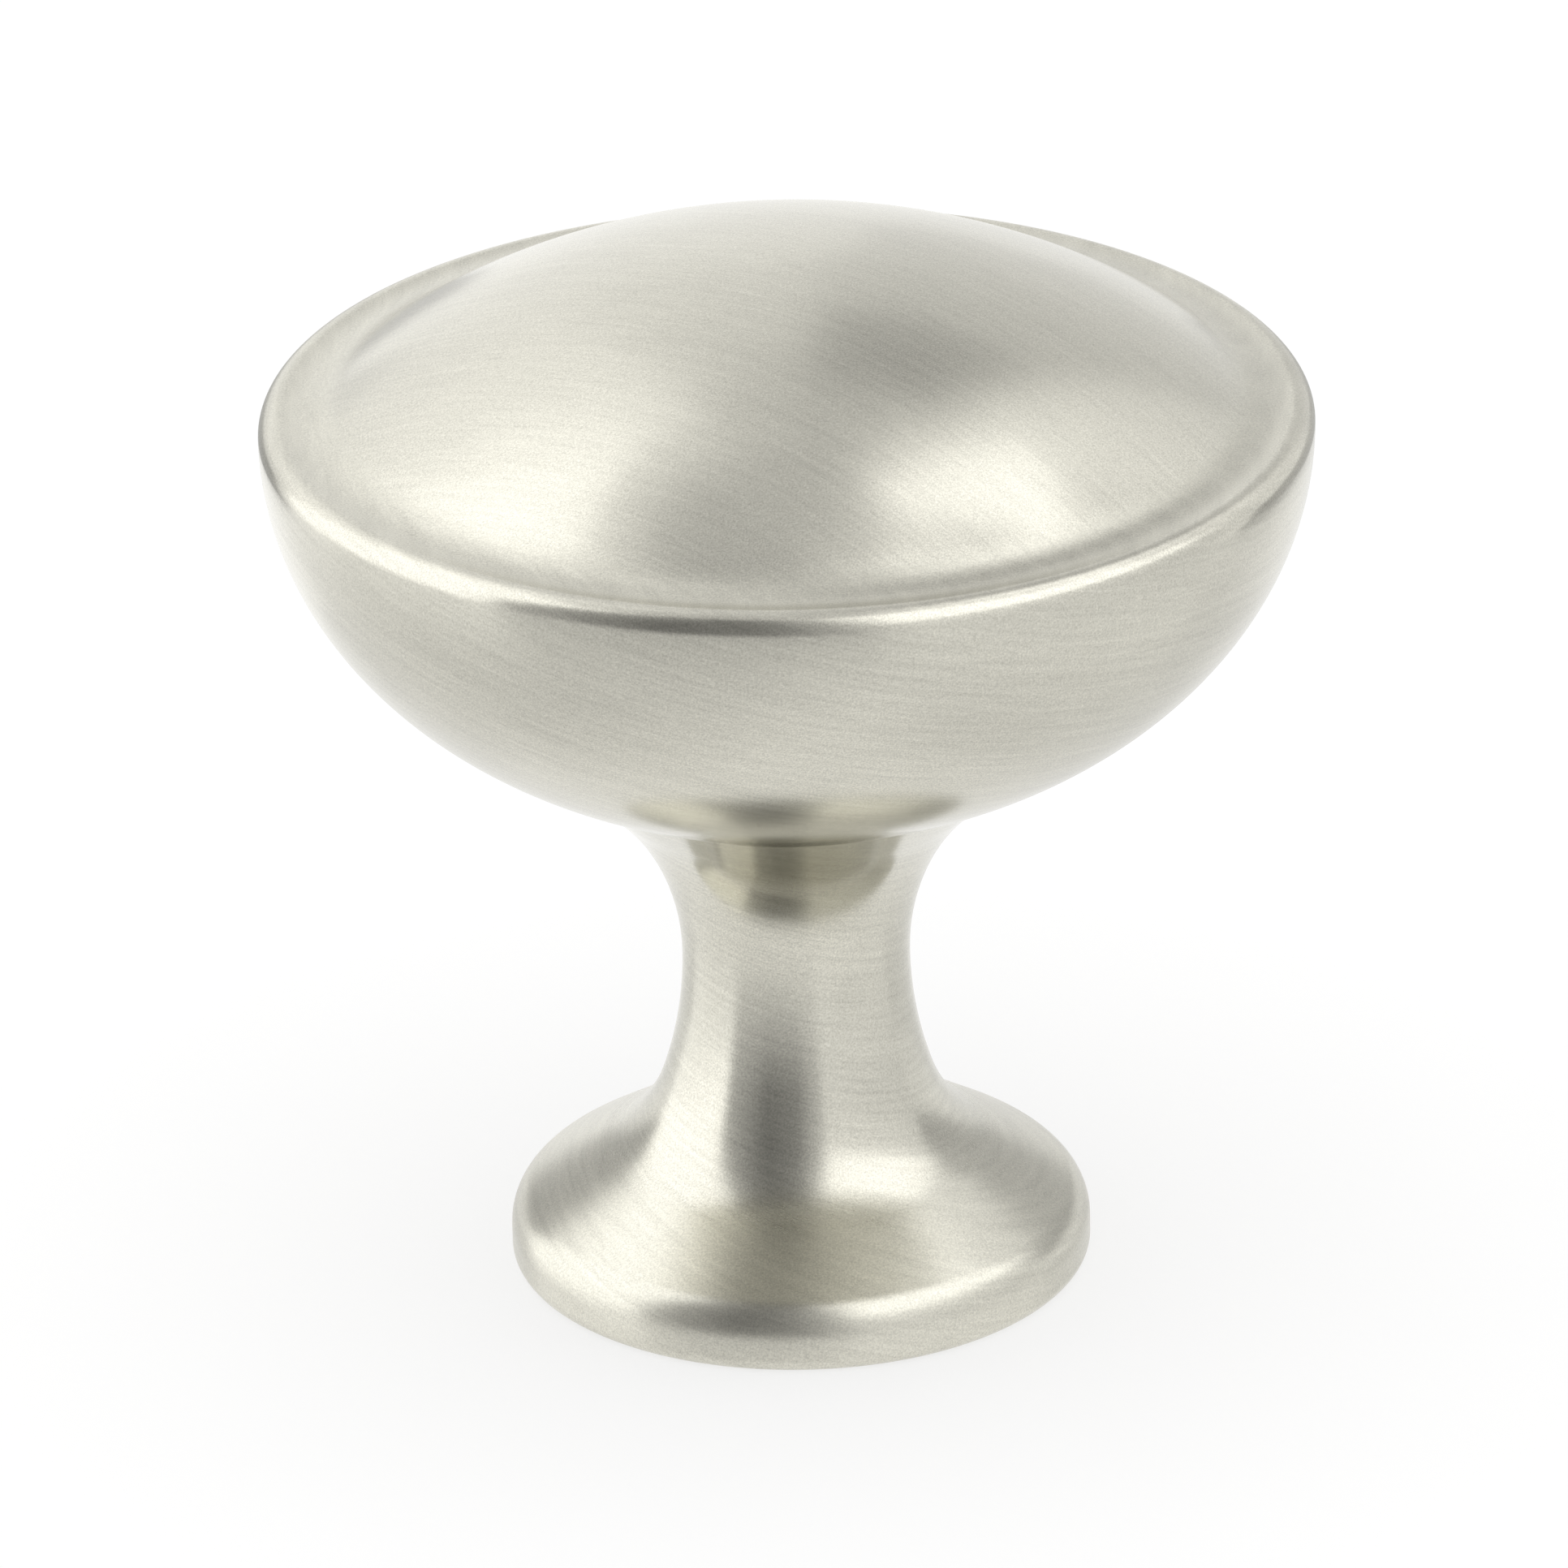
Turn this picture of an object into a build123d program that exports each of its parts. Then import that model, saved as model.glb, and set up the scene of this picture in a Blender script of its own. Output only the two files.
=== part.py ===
from build123d import *
from math import asin, atan2, cos, degrees, hypot, radians, sin, sqrt, tan
import os

# Cabinet knob, cast and turned in one piece: a round foot, a waisted neck and a
# shallow bowl of a head, closed by a low dome inside a narrow rim.
# Millimetres. The origin is the centre of the mounting face, and +Z runs along
# the knob's axis to the top of the dome. An outline point is (radius, height).

# Head
head_radius = 16.0
knob_height = 33.1
widest_height = 27.75
bowl_depth = 12.0
rim_round = 0.65
cove_radius = 2.35
dome_radius = 23.7

# Neck
waist_radius = 3.5
waist_height = 10.15
upper_neck_radius = 7.6
upper_neck_turn = 46.0
lower_neck_radius = 12.9
under_head_fillet = 1.5

# Foot
foot_radius = 8.95
base_round = 0.45
shoulder_radius = 1.4
skirt_radius = 4.4
skirt_top_height = 5.9
skirt_turn = 58.0

# Blind hole for the screw that comes through the door, at the tapping drill's size
hole_radius = 1.65
hole_depth = 12.0
drill_point_angle = 118.0
mouth_radius = 2.2


def polar(centre, radius, angle):
    """The point at an angle in degrees on a circle in the outline plane."""
    turn = radians(angle)
    return (centre[0] + radius * cos(turn), centre[1] + radius * sin(turn))


def direction(start, end):
    """The angle in degrees of the way from one point to another."""
    return degrees(atan2(end[1] - start[1], end[0] - start[0]))


def arc(centre, radius, start, end):
    return CenterArc(centre, radius, start, end - start)


def foot_outline():
    """From the centre of the mounting face up to the waist."""
    neck_centre = (waist_radius + lower_neck_radius, waist_height)
    neck_turn = degrees(asin((waist_height - skirt_top_height) / lower_neck_radius))
    skirt_top = polar(neck_centre, lower_neck_radius, 180 + neck_turn)
    skirt_centre = polar(skirt_top, skirt_radius, neck_turn)
    skirt_end = polar(skirt_centre, skirt_radius, 180 + skirt_turn)

    # A straight slope runs from the skirt's hollow to the shoulder's round.
    shoulder_r = foot_radius - shoulder_radius
    slope_end_r = polar((shoulder_r, 0), shoulder_radius, skirt_turn)[0]
    slope_end_z = skirt_end[1] - (slope_end_r - skirt_end[0]) / tan(radians(skirt_turn))
    shoulder_z = slope_end_z - shoulder_radius * sin(radians(skirt_turn))
    shoulder_centre = (shoulder_r, shoulder_z)
    base_centre = (foot_radius - base_round, base_round)

    return [
        Line((0, 0), (foot_radius - base_round, 0)),
        arc(base_centre, base_round, -90, 0),
        Line((foot_radius, base_round), (foot_radius, shoulder_z)),
        arc(shoulder_centre, shoulder_radius, 0, skirt_turn),
        Line((slope_end_r, slope_end_z), skirt_end),
        arc(skirt_centre, skirt_radius, 180 + skirt_turn, 180 + neck_turn),
        arc(neck_centre, lower_neck_radius, 180 + neck_turn, 180),
    ]


def bowl_meeting_point(start, slope):
    """Where the neck's last straight run, leaving start, meets the bowl's ellipse."""
    across = sin(radians(slope))
    along = cos(radians(slope))
    drop = start[1] - widest_height
    a = (across / head_radius) ** 2 + (along / bowl_depth) ** 2
    b = start[0] * across / head_radius ** 2 + drop * along / bowl_depth ** 2
    c = (start[0] / head_radius) ** 2 + (drop / bowl_depth) ** 2 - 1
    run = (-b - sqrt(b * b - a * c)) / a
    return (start[0] + run * across, start[1] + run * along)


def neck_and_bowl_outline():
    """From the waist out along the bowl to the head's widest line."""
    centre = (waist_radius + upper_neck_radius, waist_height)
    flare_end = polar(centre, upper_neck_radius, 180 - upper_neck_turn)
    corner = bowl_meeting_point(flare_end, upper_neck_turn)
    bowl_centre = (0, widest_height)
    corner_turn = degrees(atan2((corner[1] - widest_height) / bowl_depth, corner[0] / head_radius))
    bowl = EllipticalCenterArc(bowl_centre, head_radius, bowl_depth, corner_turn, arc_size=-corner_turn)
    outline = [
        arc(centre, upper_neck_radius, 180, 180 - upper_neck_turn),
        Line(flare_end, corner),
        bowl,
    ]
    return outline, corner


def head_top_outline():
    """From the widest line over the rim, through the cove and up the dome."""
    rim_centre = (head_radius - rim_round, widest_height)
    dome_centre = (0, knob_height - dome_radius)

    # The cove's centre lies where it touches both the rim's round and the dome.
    gap = hypot(rim_centre[0], rim_centre[1] - dome_centre[1])
    from_dome = dome_radius + cove_radius
    from_rim = cove_radius + rim_round
    share = (from_dome ** 2 - from_rim ** 2 + gap ** 2) / (2 * gap)
    lean = degrees(atan2(sqrt(from_dome ** 2 - share ** 2), share))
    cove_centre = polar(dome_centre, from_dome, direction(dome_centre, rim_centre) + lean)

    rim_to_cove = direction(rim_centre, cove_centre)
    dome_to_cove = direction(dome_centre, cove_centre)
    return [
        arc(rim_centre, rim_round, 0, rim_to_cove),
        arc(cove_centre, cove_radius, rim_to_cove - 180, dome_to_cove - 180),
        arc(dome_centre, dome_radius, dome_to_cove, 90),
        Line((0, knob_height), (0, 0)),
    ]


def turned_body():
    """The whole outline spun about the axis, with a fillet in the corner under the head."""
    bowl_side, corner = neck_and_bowl_outline()
    edges = foot_outline() + bowl_side + head_top_outline()
    body = revolve(Plane.XZ * make_face(edges), Axis.Z)
    rings = body.edges().filter_by(GeomType.CIRCLE)
    corner_ring = rings.sort_by(lambda ring: abs(ring.radius - corner[0]) + abs(ring.center().Z - corner[1]))[0]
    return fillet(corner_ring, under_head_fillet)


def screw_hole():
    """Straight wall, drill point at the blind end and a countersunk mouth."""
    point_depth = hole_radius / tan(radians(drill_point_angle / 2))
    mouth_depth = mouth_radius - hole_radius
    outline = Polyline(
        (0, 0),
        (mouth_radius, 0),
        (hole_radius, mouth_depth),
        (hole_radius, hole_depth),
        (0, hole_depth + point_depth),
        close=True,
    )
    return revolve(Plane.XZ * make_face(outline), Axis.Z)


knob = turned_body() - screw_hole()
knob.label = "knob"

os.makedirs("parts", exist_ok=True)
export_step(knob, "parts/knob.step")
print(f"knob volume {knob.volume:.1f} cubic mm")
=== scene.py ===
import bmesh
import bpy
import math
from mathutils import Matrix, Vector


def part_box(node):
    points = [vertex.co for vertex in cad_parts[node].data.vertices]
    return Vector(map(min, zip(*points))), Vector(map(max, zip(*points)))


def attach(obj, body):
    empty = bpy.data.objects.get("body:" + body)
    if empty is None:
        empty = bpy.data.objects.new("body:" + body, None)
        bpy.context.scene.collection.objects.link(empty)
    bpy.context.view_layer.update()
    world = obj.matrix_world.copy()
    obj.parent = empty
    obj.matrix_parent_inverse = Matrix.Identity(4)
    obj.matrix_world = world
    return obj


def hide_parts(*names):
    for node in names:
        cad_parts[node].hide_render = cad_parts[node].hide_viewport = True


# Cabinet knob in satin brushed nickel, turned about one axis: foot, neck, bowl, rim,
# cove and dome, with a tapped hole in the mounting face. An outline point is
# (radius, height) in millimetres; MM turns the finished mesh into metres.

MM = 0.001

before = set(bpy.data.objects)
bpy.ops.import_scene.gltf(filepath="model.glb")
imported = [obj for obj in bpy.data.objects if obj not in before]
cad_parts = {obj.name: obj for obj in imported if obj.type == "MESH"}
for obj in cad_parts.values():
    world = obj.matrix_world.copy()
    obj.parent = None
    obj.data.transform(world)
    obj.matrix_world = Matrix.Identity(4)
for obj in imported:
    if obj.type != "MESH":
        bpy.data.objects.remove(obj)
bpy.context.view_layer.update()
cad_low, cad_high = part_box("knob")

# Head
HEAD_RADIUS = (cad_high.x - cad_low.x) / 2 / MM
KNOB_HEIGHT = cad_high.z / MM
WIDEST_HEIGHT = 27.75
BOWL_DEPTH = 12.0
RIM_ROUND = 0.65
COVE_RADIUS = 2.35
DOME_RADIUS = 23.7

# Neck
WAIST_RADIUS = 3.5
WAIST_HEIGHT = 10.15
UPPER_NECK_RADIUS = 7.6
UPPER_NECK_TURN = 46.0
LOWER_NECK_RADIUS = 12.9
UNDER_HEAD_FILLET = 1.5

# Foot
FOOT_RADIUS = 8.95
BASE_ROUND = 0.45
SHOULDER_RADIUS = 1.4
SKIRT_RADIUS = 4.4
SKIRT_TOP_HEIGHT = 5.9
SKIRT_TURN = 58.0

# Blind hole with an M4 thread
DRILLED_RADIUS = 1.65
HOLE_DEPTH = 12.0
DRILL_POINT_ANGLE = 118.0
MOUTH_RADIUS = 2.2
THREAD_ROOT_RADIUS = 2.0
THREAD_PITCH = 0.7
THREAD_ROOT_WIDTH = THREAD_PITCH * 7 / 8
THREAD_CREST_WIDTH = THREAD_PITCH / 4
THREAD_LOW = 0.25
THREAD_HIGH = 11.1
THREAD_BEDDING = 0.03

# Fineness of the turned mesh
SPIN_STEPS = 256
THREAD_STEPS = 48
LONGEST_STEP = 0.36
WIDEST_STEP = 6.0
FILLET_STEPS = 5
SHARP_ANGLE = 30.0
SAME_POINT = 0.0005


# Outline

def polar(centre, radius, angle):
    """The point at an angle in degrees on a circle in the outline's plane."""
    turn = math.radians(angle)
    return (centre[0] + radius * math.cos(turn), centre[1] + radius * math.sin(turn))


def direction(start, end):
    """The angle in degrees of the way from one point to another."""
    return math.degrees(math.atan2(end[1] - start[1], end[0] - start[0]))


class Outline:
    """A line of edges in the axis's plane, drawn onwards from its last point."""

    def __init__(self, mesh, r, z):
        self.mesh = mesh
        self.point = mesh.verts.new((r, 0, z))

    def straight(self, r, z):
        """A straight run to a place."""
        made = bmesh.ops.extrude_vert_indiv(self.mesh, verts=[self.point])
        self.point = made["verts"][0]
        self.point.co = (r, 0, z)

    def curve(self, centre, turn):
        """A circle's arc about a centre, by an angle in degrees, anticlockwise above zero."""
        middle = Vector((centre[0], 0, centre[1]))
        length = (self.point.co - middle).length * math.radians(abs(turn))
        steps = math.ceil(max(length / LONGEST_STEP, abs(turn) / WIDEST_STEP))
        made = bmesh.ops.spin(
            self.mesh,
            geom=[self.point],
            cent=middle,
            axis=(0, -1, 0),
            angle=math.radians(turn),
            steps=steps,
        )
        self.point = [part for part in made["geom_last"] if isinstance(part, bmesh.types.BMVert)][0]

    def flattened_curve(self, centre, turn, share):
        """An ellipse's arc: a circle's, drawn tall and pressed down to a share of its height."""
        self.point.co.z = centre[1] + (self.point.co.z - centre[1]) / share
        before = set(self.mesh.verts) - {self.point}
        self.curve(centre, turn)
        drawn = [point for point in self.mesh.verts if point not in before]
        middle = Matrix.Translation((0, 0, -centre[1]))
        bmesh.ops.scale(self.mesh, vec=(1, 1, share), space=middle, verts=drawn)


def draw_hole(mesh):
    """From the blind end of the hole down to its countersunk mouth."""
    point_depth = DRILLED_RADIUS / math.tan(math.radians(DRILL_POINT_ANGLE / 2))
    thread_depth = THREAD_ROOT_RADIUS - DRILLED_RADIUS
    outline = Outline(mesh, 0, HOLE_DEPTH + point_depth)
    outline.straight(DRILLED_RADIUS, HOLE_DEPTH)
    outline.straight(DRILLED_RADIUS, THREAD_HIGH + thread_depth)
    outline.straight(THREAD_ROOT_RADIUS, THREAD_HIGH)
    outline.straight(THREAD_ROOT_RADIUS, MOUTH_RADIUS - THREAD_ROOT_RADIUS)
    outline.straight(MOUTH_RADIUS, 0)
    return outline


def draw_foot(outline):
    """Across the mounting face, round the foot's edge and up its skirt to the waist."""
    neck_centre = (WAIST_RADIUS + LOWER_NECK_RADIUS, WAIST_HEIGHT)
    neck_turn = math.degrees(math.asin((WAIST_HEIGHT - SKIRT_TOP_HEIGHT) / LOWER_NECK_RADIUS))
    skirt_top = polar(neck_centre, LOWER_NECK_RADIUS, 180 + neck_turn)
    skirt_centre = polar(skirt_top, SKIRT_RADIUS, neck_turn)
    skirt_end = polar(skirt_centre, SKIRT_RADIUS, 180 + SKIRT_TURN)
    slope = math.radians(SKIRT_TURN)
    shoulder_r = FOOT_RADIUS - SHOULDER_RADIUS
    slope_end_r = shoulder_r + SHOULDER_RADIUS * math.cos(slope)
    slope_end_z = skirt_end[1] - (slope_end_r - skirt_end[0]) / math.tan(slope)
    shoulder_z = slope_end_z - SHOULDER_RADIUS * math.sin(slope)
    outline.straight(FOOT_RADIUS - BASE_ROUND, 0)
    outline.curve((FOOT_RADIUS - BASE_ROUND, BASE_ROUND), 90)
    outline.straight(FOOT_RADIUS, shoulder_z)
    outline.curve((shoulder_r, shoulder_z), SKIRT_TURN)
    outline.straight(*skirt_end)
    outline.curve(skirt_centre, neck_turn - SKIRT_TURN)
    outline.curve(neck_centre, -neck_turn)


def bowl_meeting_point(start, slope):
    """Where the neck's last straight run, leaving start, meets the bowl's ellipse."""
    across = math.sin(math.radians(slope))
    along = math.cos(math.radians(slope))
    drop = start[1] - WIDEST_HEIGHT
    a = (across / HEAD_RADIUS) ** 2 + (along / BOWL_DEPTH) ** 2
    b = start[0] * across / HEAD_RADIUS ** 2 + drop * along / BOWL_DEPTH ** 2
    c = (start[0] / HEAD_RADIUS) ** 2 + (drop / BOWL_DEPTH) ** 2 - 1
    run = (-b - math.sqrt(b * b - a * c)) / a
    return (start[0] + run * across, start[1] + run * along)


def draw_neck_and_bowl(outline):
    """From the waist out under the head and along the bowl to its widest line."""
    centre = (WAIST_RADIUS + UPPER_NECK_RADIUS, WAIST_HEIGHT)
    flare_end = polar(centre, UPPER_NECK_RADIUS, 180 - UPPER_NECK_TURN)
    corner = bowl_meeting_point(flare_end, UPPER_NECK_TURN)
    corner_turn = math.atan2((corner[1] - WIDEST_HEIGHT) / BOWL_DEPTH, corner[0] / HEAD_RADIUS)
    bowl_slope = math.atan2(-BOWL_DEPTH * math.cos(corner_turn), HEAD_RADIUS * math.sin(corner_turn))
    bend = 90 - UPPER_NECK_TURN - math.degrees(bowl_slope) - 180
    outline.curve(centre, -UPPER_NECK_TURN)
    outline.straight(*corner)
    corner_point = outline.point
    outline.flattened_curve((0, WIDEST_HEIGHT), -math.degrees(corner_turn), BOWL_DEPTH / HEAD_RADIUS)
    bmesh.ops.bevel(
        outline.mesh,
        geom=[corner_point],
        offset=UNDER_HEAD_FILLET * math.tan(math.radians(abs(bend) / 2)),
        offset_type="OFFSET",
        segments=FILLET_STEPS,
        profile=0.5,
        affect="VERTICES",
        material=-1,
    )


def draw_head_top(outline):
    """From the widest line over the rim, through the cove and up the dome."""
    rim_centre = (HEAD_RADIUS - RIM_ROUND, WIDEST_HEIGHT)
    dome_centre = (0, KNOB_HEIGHT - DOME_RADIUS)
    gap = math.hypot(rim_centre[0], rim_centre[1] - dome_centre[1])
    from_dome = DOME_RADIUS + COVE_RADIUS
    from_rim = COVE_RADIUS + RIM_ROUND
    share = (from_dome ** 2 - from_rim ** 2 + gap ** 2) / (2 * gap)
    lean = math.degrees(math.atan2(math.sqrt(from_dome ** 2 - share ** 2), share))
    cove_centre = polar(dome_centre, from_dome, direction(dome_centre, rim_centre) + lean)
    rim_to_cove = direction(rim_centre, cove_centre)
    dome_to_cove = direction(dome_centre, cove_centre)
    outline.curve(rim_centre, rim_to_cove)
    outline.curve(cove_centre, dome_to_cove - rim_to_cove)
    outline.curve(dome_centre, 90 - dome_to_cove)


# Knob

def spin_body(mesh):
    """The whole outline turned once about the axis."""
    thread = set(mesh.verts[:] + mesh.edges[:])
    outline = draw_hole(mesh)
    draw_foot(outline)
    draw_neck_and_bowl(outline)
    draw_head_top(outline)
    drawn = [part for part in mesh.verts[:] + mesh.edges[:] if part not in thread]
    bmesh.ops.spin(
        mesh,
        geom=drawn,
        cent=(0, 0, 0),
        axis=(0, 0, 1),
        angle=math.tau,
        steps=SPIN_STEPS,
        use_merge=True,
    )
    bmesh.ops.remove_doubles(mesh, verts=mesh.verts, dist=SAME_POINT)


def wind_thread(mesh):
    """A ridge wound up the wall of the hole, right-handed, that runs out at both ends."""
    half_root = THREAD_ROOT_WIDTH / 2
    half_crest = THREAD_CREST_WIDTH / 2
    middle = THREAD_LOW + half_root
    bed_radius = THREAD_ROOT_RADIUS + THREAD_BEDDING
    corners = [
        mesh.verts.new((bed_radius, 0, middle - half_root)),
        mesh.verts.new((DRILLED_RADIUS, 0, middle - half_crest)),
        mesh.verts.new((DRILLED_RADIUS, 0, middle + half_crest)),
        mesh.verts.new((bed_radius, 0, middle + half_root)),
    ]
    section = mesh.faces.new(corners)
    turns = (THREAD_HIGH - THREAD_LOW - THREAD_ROOT_WIDTH) / THREAD_PITCH
    bmesh.ops.spin(
        mesh,
        geom=[section],
        cent=(0, 0, 0),
        axis=(0, 0, 1),
        dvec=(0, 0, THREAD_PITCH / THREAD_STEPS),
        angle=math.tau * turns,
        steps=round(THREAD_STEPS * turns),
    )
    for point in mesh.verts:
        radius = point.co.xy.length
        if radius < THREAD_ROOT_RADIUS:
            from_end = min(point.co.z - THREAD_LOW, THREAD_HIGH - point.co.z)
            depth = (THREAD_ROOT_RADIUS - DRILLED_RADIUS) * min(1, from_end / THREAD_PITCH)
            point.co.xy *= (THREAD_ROOT_RADIUS - depth) / radius


def linked_object(mesh, name, material):
    """The mesh as an object of the scene, with one material."""
    data = bpy.data.meshes.new(name)
    mesh.to_mesh(data)
    mesh.free()
    data.materials.append(material)
    made = bpy.data.objects.new(name, data)
    bpy.context.scene.collection.objects.link(made)
    return made


def smooth_in_metres(mesh):
    """Millimetres made metres, faces turned outwards, and all smooth but for the sharp edges."""
    bmesh.ops.scale(mesh, vec=(MM, MM, MM), verts=mesh.verts)
    bmesh.ops.recalc_face_normals(mesh, faces=mesh.faces)
    for face in mesh.faces:
        face.smooth = True
    for edge in mesh.edges:
        edge.smooth = edge.calc_face_angle(0) < math.radians(SHARP_ANGLE)


def make_knob():
    """The whole knob as one mesh, in place of the CAD knob."""
    mesh = bmesh.new()
    wind_thread(mesh)
    spin_body(mesh)
    smooth_in_metres(mesh)
    knob = linked_object(mesh, "knob_turned", satin_nickel())
    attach(knob, "root")
    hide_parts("knob")


# Shader maths

class Value:
    """A number that varies over a surface. Arithmetic on it adds Math nodes."""

    def __init__(self, shader, socket):
        self.shader = shader
        self.socket = socket

    def maths(self, operation, *values):
        return self.shader.maths(operation, *values)

    def __add__(self, other):
        return self.maths("ADD", self, other)

    def __radd__(self, other):
        return self.maths("ADD", other, self)

    def __sub__(self, other):
        return self.maths("SUBTRACT", self, other)

    def __rsub__(self, other):
        return self.maths("SUBTRACT", other, self)

    def __mul__(self, other):
        return self.maths("MULTIPLY", self, other)

    def __rmul__(self, other):
        return self.maths("MULTIPLY", other, self)

    def __pow__(self, other):
        return self.maths("POWER", self, other)


class Shader:
    """A node tree that is written node by node."""

    def __init__(self, owner):
        owner.use_nodes = True
        self.tree = owner.node_tree
        self.tree.nodes.clear()

    def add(self, kind, settings=None, sockets=None, output=0):
        """A node of a kind, its settings set first, then its sockets. Gives back an output."""
        node = self.tree.nodes.new(kind)
        for name, setting in (settings or {}).items():
            setattr(node, name, setting)
        for name, value in (sockets or {}).items():
            if isinstance(value, Value):
                self.tree.links.new(value.socket, node.inputs[name])
            else:
                node.inputs[name].default_value = value
        return Value(self, node.outputs[output]) if node.outputs else None

    def maths(self, operation, *values):
        return self.add("ShaderNodeMath", {"operation": operation}, dict(enumerate(values)))


def clear_view(shader):
    """One where a camera, glossy or transmission ray arrives, and nothing for other rays."""
    seen = shader.add("ShaderNodeLightPath", output="Is Camera Ray")
    mirrored = shader.add("ShaderNodeLightPath", output="Is Glossy Ray")
    passed = shader.add("ShaderNodeLightPath", output="Is Transmission Ray")
    return seen.maths("MAXIMUM", seen.maths("MAXIMUM", seen, mirrored), passed)


# Finish, in millimetres, but for the height of the brushing in metres, as its node wants it

NICKEL_LIGHT = (0.78, 0.762, 0.670, 1)
NICKEL_DARK = (0.42, 0.410, 0.361, 1)
STREAK_LENGTH = 3.0
STREAK_WIDTH = 0.14
FINE_STREAK_LENGTH = 1.5
FINE_STREAK_WIDTH = 0.05
SIDE_SLANT = 0.28
DOME_EDGE_HEIGHT = 28.6
DOME_STROKE_ANGLE = 32.0
GRAIN_SIZE = 0.055
CLOUD_SIZE = 5.0

# How strongly each layer of the brushing shows in the colour, in the relief and in the roughness
SIDE_DEPTH = 0.42
DOME_DEPTH = 0.28
FINE_DEPTH = 0.18
GRAIN_DEPTH = 1.1
CLOUD_DEPTH = 0.2
FINE_RELIEF = 0.22
GRAIN_RELIEF = 0.25
BRUSH_HEIGHT = 0.000002
FINE_ROUGHNESS = 0.05
CLOUD_ROUGHNESS = 0.03

# Roughness of the sides and dome, and how it changes on the foot, under the head and in the cove
ROUGHNESS = 0.22
ANISOTROPY = 0.3
QUARTER_TURN = 0.25
FOOT_ROUGHNESS = 0.07
FOOT_ROUGH_BELOW = 3.0
FOOT_SMOOTH_ABOVE = 6.5
CORNER_HEIGHT = 16.4
CORNER_REACH = 3.6
CORNER_SMOOTHNESS = 0.5
COVE_HEIGHT = 28.55
COVE_REACH = 0.5
COVE_ROUGHNESS = 0.12


def object_place(shader, axis):
    """A point's own X, Y or Z in millimetres."""
    place = shader.add("ShaderNodeTexCoord", output="Object")
    return shader.add("ShaderNodeSeparateXYZ", sockets={0: place}, output=axis) * (1 / MM)


def brushed(shader, width, length, detail):
    """Stretched noise about zero: strokes that slant round the sides, and run straight over the dome."""
    x = object_place(shader, "X")
    y = object_place(shader, "Y")
    z = object_place(shader, "Z")
    stroke = math.radians(DOME_STROKE_ANGLE)
    round_side = z + SIDE_SLANT * x
    over_dome = math.sin(stroke) * x + math.cos(stroke) * y
    on_dome = shader.maths("GREATER_THAN", z, DOME_EDGE_HEIGHT)
    across = round_side + (over_dome - round_side) * on_dome
    along = 1 / length
    stretched = shader.add("ShaderNodeCombineXYZ", sockets={0: x * along, 1: y * along, 2: z * along})
    noise = shader.add(
        "ShaderNodeTexNoise",
        {"noise_dimensions": "4D"},
        {
            "Vector": stretched,
            "W": across * (1 / width),
            "Scale": 1.0,
            "Detail": detail,
            "Roughness": 0.55,
        },
    )
    return noise - 0.5


def speckle(shader, size, detail):
    """Noise about zero, even in all directions, its grains of a size in millimetres."""
    place = shader.add("ShaderNodeTexCoord", output="Object")
    noise = shader.add(
        "ShaderNodeTexNoise",
        {"noise_dimensions": "3D"},
        {"Vector": place, "Scale": 1 / MM / size, "Detail": detail, "Roughness": 0.5},
    )
    return noise - 0.5


def ramp(shader, value, start, full):
    """From 0 where the value is at its start to 1 where it is full, and no further."""
    return shader.add("ShaderNodeMapRange", sockets={"Value": value, "From Min": start, "From Max": full})


def band(shader, value, middle, reach):
    """From 1 where the value is at its middle down to 0 at its reach to either side."""
    away = shader.maths("ABSOLUTE", value - middle) * (1 / reach)
    return shader.maths("MAXIMUM", 1 - away, 0.0)


def satin_nickel():
    """Brushed nickel plate, smoother in the corner under the head, rougher on the foot and in the cove."""
    material = bpy.data.materials.new("satin_nickel")
    shader = Shader(material)
    z = object_place(shader, "Z")
    on_dome = shader.maths("GREATER_THAN", z, DOME_EDGE_HEIGHT)
    in_corner = band(shader, z, CORNER_HEIGHT, CORNER_REACH)
    in_cove = band(shader, z, COVE_HEIGHT, COVE_REACH)
    down_foot = ramp(shader, z, FOOT_SMOOTH_ABOVE, FOOT_ROUGH_BELOW)

    streaks = brushed(shader, STREAK_WIDTH, STREAK_LENGTH, 1.0)
    fine_streaks = brushed(shader, FINE_STREAK_WIDTH, FINE_STREAK_LENGTH, 1.0)
    grain = speckle(shader, GRAIN_SIZE, 1.0)
    clouds = speckle(shader, CLOUD_SIZE, 2.0)
    strokes = streaks * (SIDE_DEPTH + (DOME_DEPTH - SIDE_DEPTH) * on_dome)

    shade = 0.5 + strokes + FINE_DEPTH * fine_streaks + GRAIN_DEPTH * grain + CLOUD_DEPTH * clouds
    colour = shader.add(
        "ShaderNodeMix",
        {"data_type": "RGBA"},
        {0: shade, 6: NICKEL_DARK, 7: NICKEL_LIGHT},
        output=2,
    )
    relief = strokes + FINE_RELIEF * fine_streaks + GRAIN_RELIEF * grain
    normal = shader.add(
        "ShaderNodeBump",
        sockets={"Strength": 1.0, "Distance": BRUSH_HEIGHT, "Height": relief},
    )
    grained = ROUGHNESS + FINE_ROUGHNESS * fine_streaks + CLOUD_ROUGHNESS * clouds
    roughness = grained + FOOT_ROUGHNESS * down_foot + COVE_ROUGHNESS * in_cove
    metal = shader.add(
        "ShaderNodeBsdfPrincipled",
        sockets={
            "Base Color": colour,
            "Metallic": 1.0,
            "Roughness": roughness * (1 - CORNER_SMOOTHNESS * in_corner),
            "Anisotropic": ANISOTROPY,
            "Anisotropic Rotation": QUARTER_TURN,
            "Normal": normal,
        },
    )
    shader.add("ShaderNodeOutputMaterial", sockets={"Surface": metal})
    return material


# Studio, in metres and degrees, but for the floor's shades in millimetres

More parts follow.
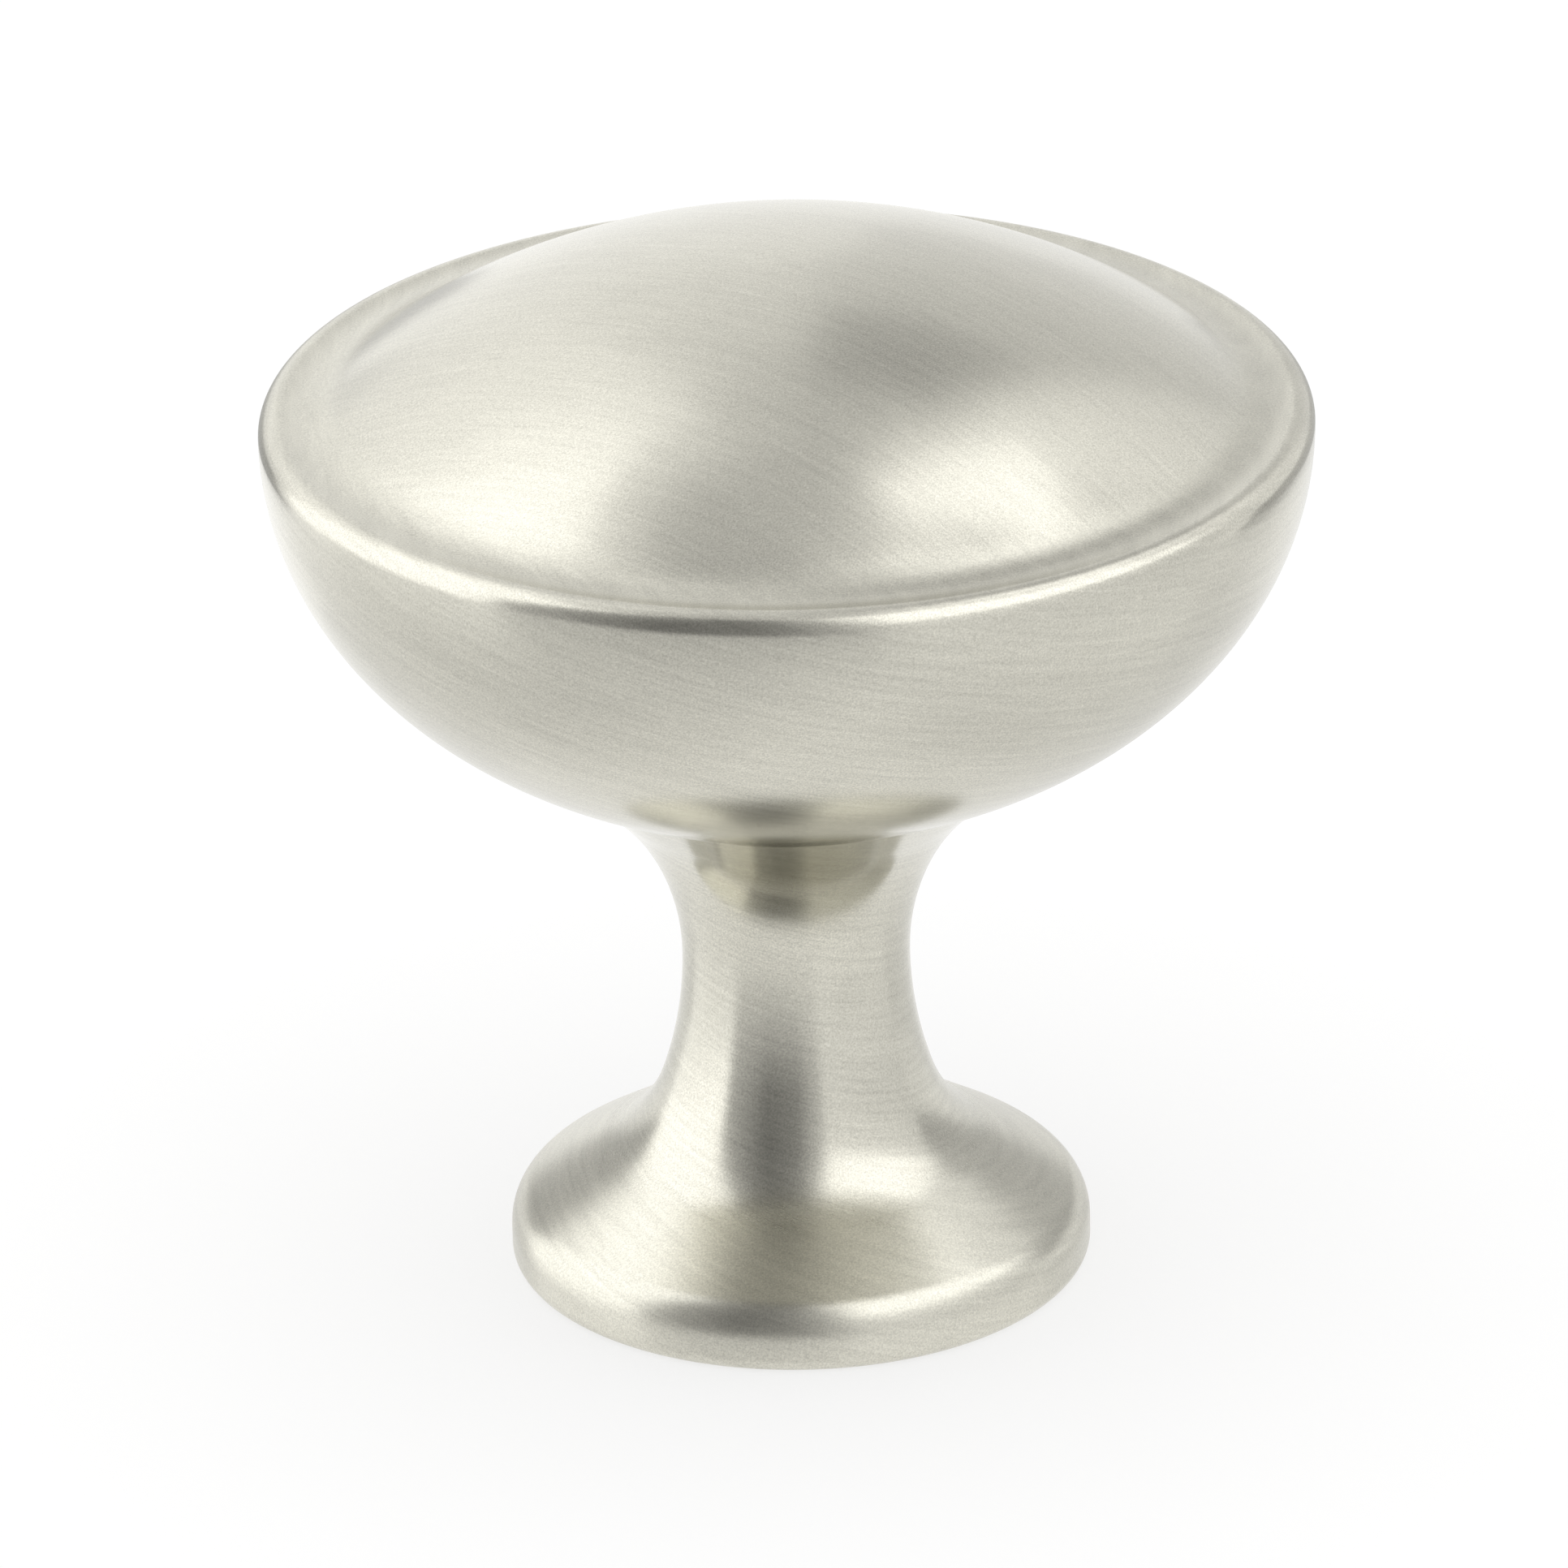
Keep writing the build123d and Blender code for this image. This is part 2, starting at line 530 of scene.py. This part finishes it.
AIM = Vector((0, 0, 0.018))
PANEL_STEPS = 12
FLOOR_SIZE = 2.0
FLOOR_COLOUR = (0.9, 0.9, 0.9, 1)
FLOOR_GLOW = 1.08
FLOOR_GLOW_SHARE = 0.65
BACK_GLOW = 0.4
BACK_GLOW_START = 12.0
BACK_GLOW_FULL = 45.0
FRONT_SHADE = 0.25
FRONT_SHADE_AZIMUTH = -55.0
FRONT_SHADE_START = 12.0
FRONT_SHADE_FULL = 32.0
RIGHT_SHADE = 0.15
RIGHT_SHADE_START = 6.0
RIGHT_SHADE_FULL = 16.0
NEAR_GLOW = 0.2
NEAR_GLOW_START = 24.0
NEAR_GLOW_FULL = 10.0
SHEEN_FALL = 2.5
SHEEN_ROUGHNESS = 0.15
WORLD_LEVEL = 0.8
LAMP_SIZE = 0.8
LAMP_HEIGHT = 1.0
LAMP_LEVEL = 1.5


def toward(azimuth, elevation):
    """A direction from the knob: azimuth 0 is to the camera, and above zero to its right."""
    turn = math.radians(azimuth)
    rise = math.radians(elevation)
    return Vector((math.sin(turn) * math.cos(rise), -math.cos(turn) * math.cos(rise), math.sin(rise)))


def add_panel(name, azimuths, elevations, distance, low, high):
    """A curved studio panel that only the metal sees. White paper is 1; low and high hold the
    levels at the left and right end of its lower and its upper edge."""
    material = bpy.data.materials.new(name)
    shader = Shader(material)
    place = shader.add("ShaderNodeTexCoord", output="UV")
    across = shader.add("ShaderNodeSeparateXYZ", sockets={0: place}, output="X")
    upward = shader.add("ShaderNodeSeparateXYZ", sockets={0: place}, output="Y")
    low_shade = low[0] + (low[1] - low[0]) * across
    high_shade = high[0] + (high[1] - high[0]) * across
    shade = low_shade + (high_shade - low_shade) * upward
    colour = shader.add("ShaderNodeCombineXYZ", sockets={0: shade, 1: shade, 2: shade})
    glow = shader.add("ShaderNodeEmission", sockets={"Color": colour, "Strength": 1.0})
    shader.add("ShaderNodeOutputMaterial", sockets={"Surface": glow})
    mesh = bmesh.new()
    mesh.loops.layers.uv.new("panel")
    bmesh.ops.create_grid(mesh, x_segments=PANEL_STEPS, y_segments=PANEL_STEPS, size=0.5, calc_uvs=True)
    for point in mesh.verts:
        azimuth = azimuths[0] + (azimuths[1] - azimuths[0]) * (0.5 + point.co.x)
        elevation = elevations[0] + (elevations[1] - elevations[0]) * (0.5 + point.co.y)
        point.co = AIM + toward(azimuth, elevation) * distance
    panel = linked_object(mesh, name, material)
    panel.visible_camera = False
    panel.visible_shadow = False
    panel.visible_diffuse = False


def floor_sheet():
    """Pale paper that is white to the camera. The metal sees it glossy, with painted light behind
    and beneath the head, and painted shade to the front left and to the right."""
    material = bpy.data.materials.new("floor_sheet")
    shader = Shader(material)
    mirrored = shader.add("ShaderNodeLightPath", output="Is Glossy Ray")
    x = object_place(shader, "X")
    y = object_place(shader, "Y")
    shade_way = toward(FRONT_SHADE_AZIMUTH, 0)
    behind = ramp(shader, y, BACK_GLOW_START, BACK_GLOW_FULL)
    in_front = ramp(shader, shade_way.x * x + shade_way.y * y, FRONT_SHADE_START, FRONT_SHADE_FULL)
    on_right = ramp(shader, x, RIGHT_SHADE_START, RIGHT_SHADE_FULL)
    near = ramp(shader, shader.maths("SQRT", x * x + y * y), NEAR_GLOW_START, NEAR_GLOW_FULL)
    # Painted light behind the knob and beneath its head, and painted shade to the front left and to the
    # right, seen only in the metal's reflections
    painted_light = BACK_GLOW * behind + NEAR_GLOW * near
    painted_shade = FRONT_SHADE * in_front + RIGHT_SHADE * on_right
    strength = FLOOR_GLOW + mirrored * (painted_light - painted_shade)
    paper = shader.add("ShaderNodeBsdfDiffuse", sockets={"Color": FLOOR_COLOUR})
    glow = shader.add("ShaderNodeEmission", sockets={"Color": (1, 1, 1, 1), "Strength": strength})
    share = FLOOR_GLOW_SHARE * clear_view(shader)
    lit = shader.add("ShaderNodeMixShader", sockets={0: share, 1: paper, 2: glow})
    polish = shader.add(
        "ShaderNodeBsdfGlossy",
        sockets={"Color": (1, 1, 1, 1), "Roughness": SHEEN_ROUGHNESS},
    )
    sideways = shader.add("ShaderNodeLayerWeight", sockets={"Blend": 0.5}, output="Facing")
    sheen = mirrored * sideways ** SHEEN_FALL
    surface = shader.add("ShaderNodeMixShader", sockets={0: sheen, 1: lit, 2: polish})
    shader.add("ShaderNodeOutputMaterial", sockets={"Surface": surface})
    return material


def add_floor():
    """The sheet that the knob stands on."""
    mesh = bmesh.new()
    bmesh.ops.create_grid(mesh, x_segments=1, y_segments=1, size=FLOOR_SIZE)
    linked_object(mesh, "floor", floor_sheet())


def light_world():
    """White all round to the camera and in reflections, and a plain level for other light."""
    world = bpy.data.worlds.new("studio")
    bpy.context.scene.world = world
    shader = Shader(world)
    level = WORLD_LEVEL + (1 - WORLD_LEVEL) * clear_view(shader)
    sky = shader.add("ShaderNodeBackground", sockets={"Color": (1, 1, 1, 1), "Strength": level})
    shader.add("ShaderNodeOutputWorld", sockets={"Surface": sky})


def add_lamp():
    """One broad lamp from above, which gives the floor its faint shadow."""
    light = bpy.data.lights.new("top_lamp", "AREA")
    light.shape = "DISK"
    light.size = LAMP_SIZE
    light.energy = LAMP_LEVEL * math.pi * math.pi * (LAMP_SIZE / 2) ** 2
    lamp = bpy.data.objects.new("top_lamp", light)
    lamp.matrix_world = Matrix.Translation((0, 0, LAMP_HEIGHT))
    lamp.visible_camera = False
    lamp.visible_glossy = False
    bpy.context.scene.collection.objects.link(lamp)


# Camera

CAMERA_TILT = 24.72
CAMERA_ROLL = 1.07
CAMERA_DISTANCE = 0.48
CAMERA_AIM = Vector((-0.00028, 0, 0.01572))
PIXELS_PER_METRE = 40290
PHOTO_WIDTH = 1932
SENSOR_WIDTH = 36.0


def add_camera():
    """The photograph's camera: a long lens that looks down a little, turned a degree."""
    data = bpy.data.cameras.new("camera")
    data.sensor_width = SENSOR_WIDTH
    data.lens = PIXELS_PER_METRE * CAMERA_DISTANCE / PHOTO_WIDTH * SENSOR_WIDTH
    camera = bpy.data.objects.new("camera", data)
    place = Matrix.Translation(CAMERA_AIM + toward(0, CAMERA_TILT) * CAMERA_DISTANCE)
    tilt = Matrix.Rotation(math.radians(90 - CAMERA_TILT), 4, "X")
    roll = Matrix.Rotation(math.radians(-CAMERA_ROLL), 4, "Z")
    camera.matrix_world = place @ tilt @ roll
    bpy.context.scene.collection.objects.link(camera)
    bpy.context.scene.camera = camera


make_knob()
add_floor()
light_world()
add_lamp()

# Panels to the left, the small ones close behind the foot and neck
add_panel("left_softbox", (-129, -65), (-2, 65), 0.6, (1.78, 1.78), (1.78, 1.78))
add_panel("left_rear_glow", (-163, -129), (12, 64), 0.62, (1.2, 1.15), (1.15, 1.85))
add_panel("left_rear_card", (-162, -122), (-11, 10), 0.054, (0.7, 0.4), (0.7, 0.4))
add_panel("left_inner_card", (-160, -126), (-4, 14), 0.036, (0.65, 0.45), (0.7, 0.5))

# Behind
add_panel("back_left_glow", (-184, -163), (12, 70), 0.64, (1.12, 1.22), (0.7, 0.8))
add_panel("back_glow", (170, 200), (-2, 14), 0.66, (1.05, 1.3), (1.0, 1.15))

# To the right, the small ones close behind the foot and neck
add_panel("right_softbox", (19, 82), (29, 77), 0.6, (1.75, 1.8), (1.95, 1.95))
add_panel("right_softbox_end", (82, 110), (29, 59), 0.6, (1.8, 1.6), (1.9, 1.8))
add_panel("right_low_glow", (19, 104), (-2, 29), 0.62, (1.0, 0.85), (1.25, 1.0))
add_panel("right_rear_softbox", (106, 135), (54, 77), 0.25, (1.95, 1.85), (1.95, 1.7))
add_panel("right_rear_glow", (126, 149), (20, 54), 0.62, (1.0, 0.98), (1.35, 1.15))
add_panel("right_rear_card", (100, 152), (-11, 10), 0.054, (0.5, 0.6), (0.5, 0.6))
add_panel("right_inner_card", (104, 150), (-4, 14), 0.036, (0.55, 0.6), (0.6, 0.65))

# Behind, to the right
add_panel("back_right_card", (150, 179), (40, 58), 0.64, (0.5, 0.6), (0.42, 0.5))
add_panel("back_high_card", (149, 178), (58, 77), 0.64, (0.72, 0.68), (0.72, 0.68))
add_panel("back_right_glow", (147, 176), (3, 40), 0.64, (0.87, 0.95), (0.66, 0.78))

# Dark cards behind the camera, out to both sides of it
add_panel("front_left_card", (-62, -30), (-2, 76), 0.58, (0.6, 0.27), (0.5, 0.16))
add_panel("front_card", (-30, 2), (-2, 76), 0.59, (0.2, 0.32), (0.16, 0.3))
add_panel("front_right_card", (2, 20), (-2, 76), 0.58, (0.4, 0.75), (0.4, 0.9))

# Overhead
add_panel("top_left_card", (-184, 20), (72, 90), 0.66, (0.66, 0.66), (0.66, 0.66))
add_panel("top_right_card", (20, 176), (77, 90), 0.66, (0.85, 0.7), (0.7, 0.7))

add_camera()
bpy.context.scene.view_settings.view_transform = "Standard"
